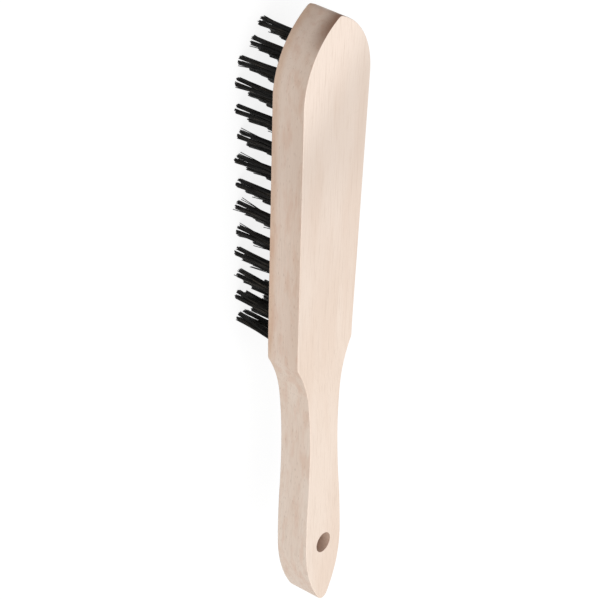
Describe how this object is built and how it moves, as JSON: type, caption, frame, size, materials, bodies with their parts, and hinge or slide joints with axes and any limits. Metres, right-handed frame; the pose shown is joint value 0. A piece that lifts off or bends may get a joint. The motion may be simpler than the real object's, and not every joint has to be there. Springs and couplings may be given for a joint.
{
  "type": "wire hand brush",
  "caption": "One-piece wooden hand brush with folded steel wire tufts in five rows, a narrow waisted grip and a hanging hole; scrubs rust, paint and scale off metal.",
  "frame": {"origin": "under the middle of the overall length, at the level of the wire tips that the brush stands on", "axes": "+X from the butt of the handle to the nose, +Y across the head, +Z from the wire tips up through the back of the block"},
  "size_m": [0.29, 0.0428, 0.0448],
  "materials": {
    "wood": "bare sanded pale hardwood",
    "bristle_wire": "blackened tempered steel wire",
    "anchor_steel": "bright flat steel strip"
  },
  "bodies": {
    "root": {"handle": "wood", "tuft_row_01": "bristle_wire", "anchor_row_01": "anchor_steel", "tuft_row_02": "bristle_wire", "anchor_row_02": "anchor_steel", "tuft_row_03": "bristle_wire", "anchor_row_03": "anchor_steel", "tuft_row_04": "bristle_wire", "anchor_row_04": "anchor_steel", "tuft_row_05": "bristle_wire", "anchor_row_05": "anchor_steel", "tuft_row_06": "bristle_wire", "anchor_row_06": "anchor_steel", "tuft_row_07": "bristle_wire", "anchor_row_07": "anchor_steel", "tuft_row_08": "bristle_wire", "anchor_row_08": "anchor_steel", "tuft_row_09": "bristle_wire", "anchor_row_09": "anchor_steel", "tuft_row_10": "bristle_wire", "anchor_row_10": "anchor_steel", "tuft_row_11": "bristle_wire", "anchor_row_11": "anchor_steel", "tuft_row_12": "bristle_wire", "anchor_row_12": "anchor_steel", "tuft_row_13": "bristle_wire", "anchor_row_13": "anchor_steel", "tuft_row_14": "bristle_wire", "anchor_row_14": "anchor_steel"}
  },
  "joints": []
}
